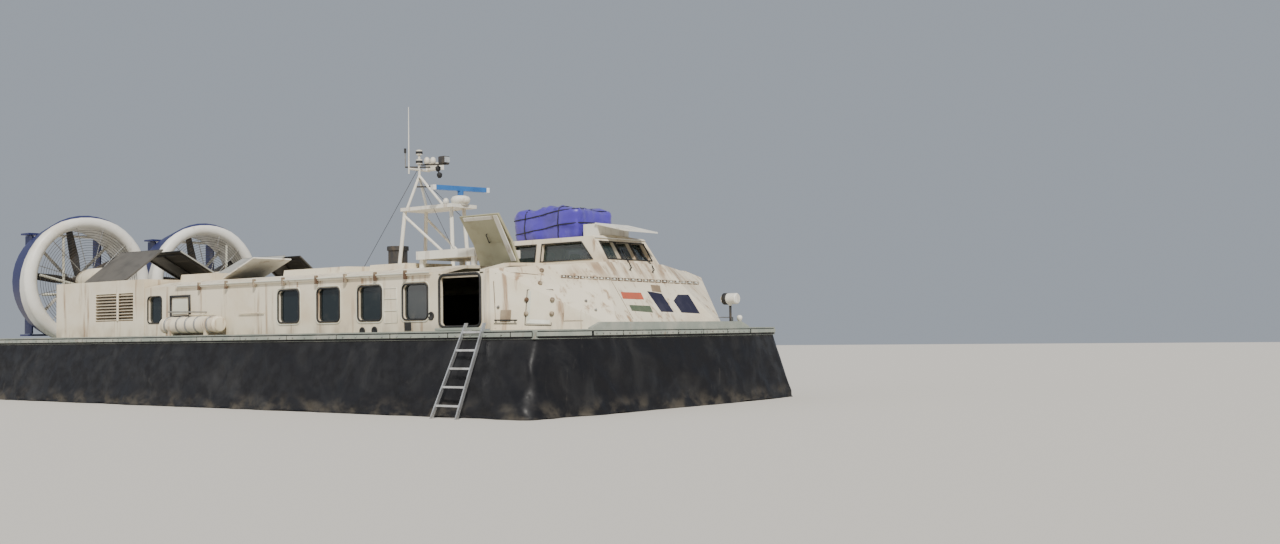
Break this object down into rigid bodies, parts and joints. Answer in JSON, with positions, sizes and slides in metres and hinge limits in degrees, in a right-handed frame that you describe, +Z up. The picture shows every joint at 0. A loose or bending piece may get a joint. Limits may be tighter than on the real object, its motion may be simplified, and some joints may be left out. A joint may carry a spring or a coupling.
{
  "type": "twin-ducted-propeller hovercraft",
  "caption": "Diesel utility hovercraft on a deflated rubber skirt, with a hollow cabin and wheelhouse, ducted propellers, rudders, mast and radar, parked with its side door open.",
  "frame": {"origin": "middle of the sole of the centre landing skid, on the ground, amidships", "axes": "+X to the bow, +Y to port, +Z up"},
  "size_m": [20.5, 9.32, 6.88],
  "materials": {
    "cream_paint": "weathered matt cream marine paint",
    "deck_grey": "worn grey-green non-slip paint",
    "skirt_rubber": "dull black coated fabric",
    "window_glass": "dark tinted glass",
    "navy_paint": "satin navy paint",
    "white_paint": "satin white paint",
    "cover_metal": "bare sheet, streaked",
    "dark_metal": "dark satin paint",
    "khaki_paint": "khaki primer inside, cream outside",
    "ladder_aluminium": "bare extrusion",
    "tarp_fabric": "violet coated tarpaulin",
    "seat_fabric": "pale green cloth covers",
    "scanner_blue": "blue radome with white ends"
  },
  "bodies": {
    "hull": {"aft_bulkhead": "cream_paint", "boarding_ladder": "ladder_aluminium", "cabin_glazing_port": "window_glass", "cabin_glazing_starboard": "window_glass", "cabin_roof": "cream_paint", "cabin_side_port": "cream_paint", "cabin_side_starboard": "cream_paint", "duct_port": "white_paint", "duct_starboard": "white_paint", "engine_block_port": "dark_metal", "engine_block_starboard": "dark_metal", "engine_room_port": "cream_paint", "engine_room_starboard": "cream_paint", "exhaust_stack": "dark_metal", "gear_pod_port": "cream_paint", "gear_pod_starboard": "cream_paint", "life_raft_port": "white_paint", "life_raft_starboard": "white_paint", "mast": "white_paint", "nose_shell": "cream_paint", "pilot_seat_port": "seat_fabric", "pilot_seat_starboard": "seat_fabric", "raft_bottom": "deck_grey", "raft_bow": "deck_grey", "raft_side_port": "deck_grey", "raft_side_starboard": "deck_grey", "raft_stern": "deck_grey", "roof_hood_port": "white_paint", "roof_hood_starboard": "white_paint", "searchlight_bracket": "dark_metal", "skirt_bow": "skirt_rubber", "skirt_port": "skirt_rubber", "skirt_starboard": "skirt_rubber", "skirt_stern": "skirt_rubber", "tarp_bundle": "tarp_fabric", "visor_hood": "white_paint", "wheelhouse_glazing_port": "window_glass", "wheelhouse_glazing_starboard": "window_glass", "wheelhouse_shell": "cream_paint", "windscreen_glazing": "window_glass"},
    "propeller_starboard": {"propeller_starboard": "dark_metal"},
    "propeller_port": {"propeller_port": "dark_metal"},
    "rudder_inner_starboard": {"rudder_inner_starboard": "navy_paint"},
    "rudder_inner_port": {"rudder_inner_port": "navy_paint"},
    "rudder_outer_starboard": {"rudder_outer_starboard": "navy_paint"},
    "rudder_outer_port": {"rudder_outer_port": "navy_paint"},
    "radar_scanner": {"radar_scanner": "scanner_blue"},
    "side_door_starboard": {"side_door_starboard": "cream_paint"},
    "side_door_port": {"side_door_port": "cream_paint"},
    "roof_hatch_starboard": {"roof_hatch_starboard": "khaki_paint"},
    "roof_hatch_port": {"roof_hatch_port": "khaki_paint"},
    "searchlight": {"searchlight": "white_paint"},
    "engine_cover_inner_starboard": {"engine_cover_inner_starboard": "cover_metal"},
    "engine_cover_inner_port": {"engine_cover_inner_port": "cover_metal"},
    "engine_cover_outer_starboard": {"engine_cover_outer_starboard": "cover_metal"},
    "engine_cover_outer_port": {"engine_cover_outer_port": "cover_metal"},
    "aft_roof_lid": {"aft_roof_lid": "white_paint"}
  },
  "joints": [
    {"name": "propeller_starboard_turn", "type": "hinge", "parent": "hull", "child": "propeller_starboard", "pos_m": [-9.18, -1.88, 3.13], "axis": [1, 0, 0], "continuous": true},
    {"name": "propeller_port_turn", "type": "hinge", "parent": "hull", "child": "propeller_port", "pos_m": [-9.18, 1.88, 3.13], "axis": [1, 0, 0], "continuous": true},
    {"name": "rudder_inner_starboard_turn", "type": "hinge", "parent": "hull", "child": "rudder_inner_starboard", "pos_m": [-9.88, -0.88, 3], "axis": [0, 0, 1], "range_deg": [-30, 30]},
    {"name": "rudder_outer_starboard_turn", "type": "hinge", "parent": "hull", "child": "rudder_outer_starboard", "pos_m": [-9.88, -2.88, 3], "axis": [0, 0, 1], "range_deg": [-30, 30]},
    {"name": "rudder_inner_port_turn", "type": "hinge", "parent": "hull", "child": "rudder_inner_port", "pos_m": [-9.88, 0.88, 3], "axis": [0, 0, 1], "range_deg": [-30, 30]},
    {"name": "rudder_outer_port_turn", "type": "hinge", "parent": "hull", "child": "rudder_outer_port", "pos_m": [-9.88, 2.88, 3], "axis": [0, 0, 1], "range_deg": [-30, 30]},
    {"name": "radar_scanner_turn", "type": "hinge", "parent": "hull", "child": "radar_scanner", "pos_m": [3.95, 0, 4.7], "axis": [0, 0, 1], "continuous": true},
    {"name": "side_door_starboard_slide", "type": "slide", "parent": "hull", "child": "side_door_starboard", "axis": [1, 0, 0], "range_m": [0, 1.17]},
    {"name": "side_door_port_slide", "type": "slide", "parent": "hull", "child": "side_door_port", "axis": [1, 0, 0], "range_m": [-1.17, 0]},
    {"name": "roof_hatch_starboard_turn", "type": "hinge", "parent": "hull", "child": "roof_hatch_starboard", "pos_m": [7.5, -2.4324, 2.89124], "axis": [1, 0, 0], "range_deg": [-14, 66]},
    {"name": "roof_hatch_port_turn", "type": "hinge", "parent": "hull", "child": "roof_hatch_port", "pos_m": [7.5, 2.4324, 2.89124], "axis": [1, 0, 0], "range_deg": [0, 80]},
    {"name": "searchlight_turn", "type": "hinge", "parent": "hull", "child": "searchlight", "pos_m": [9.79, 2.33, 2.2], "axis": [0, 0, 1], "range_deg": [-160, 160]},
    {"name": "engine_cover_outer_starboard_turn", "type": "hinge", "parent": "hull", "child": "engine_cover_outer_starboard", "pos_m": [-5.6, -3.19, 2.9904], "axis": [1, 0, 0], "range_deg": [-38, 42]},
    {"name": "engine_cover_inner_starboard_turn", "type": "hinge", "parent": "hull", "child": "engine_cover_inner_starboard", "pos_m": [-5.6, -0.16, 2.9904], "axis": [1, 0, 0], "range_deg": [-52, 28]},
    {"name": "engine_cover_outer_port_turn", "type": "hinge", "parent": "hull", "child": "engine_cover_outer_port", "pos_m": [-5.6, 3.19, 2.9904], "axis": [1, 0, 0], "range_deg": [-42, 38]},
    {"name": "engine_cover_inner_port_turn", "type": "hinge", "parent": "hull", "child": "engine_cover_inner_port", "pos_m": [-5.6, 0.16, 2.9904], "axis": [1, 0, 0], "range_deg": [-28, 52]},
    {"name": "aft_roof_lid_turn", "type": "hinge", "parent": "hull", "child": "aft_roof_lid", "pos_m": [-1.54, -2, 2.94302], "axis": [0, 1, 0], "range_deg": [-60, 20]}
  ],
  "couplings": [
    {"joint": "rudder_outer_starboard_turn", "follows": "rudder_inner_starboard_turn", "ratio": 1},
    {"joint": "rudder_inner_port_turn", "follows": "rudder_inner_starboard_turn", "ratio": 1},
    {"joint": "rudder_outer_port_turn", "follows": "rudder_inner_starboard_turn", "ratio": 1}
  ]
}
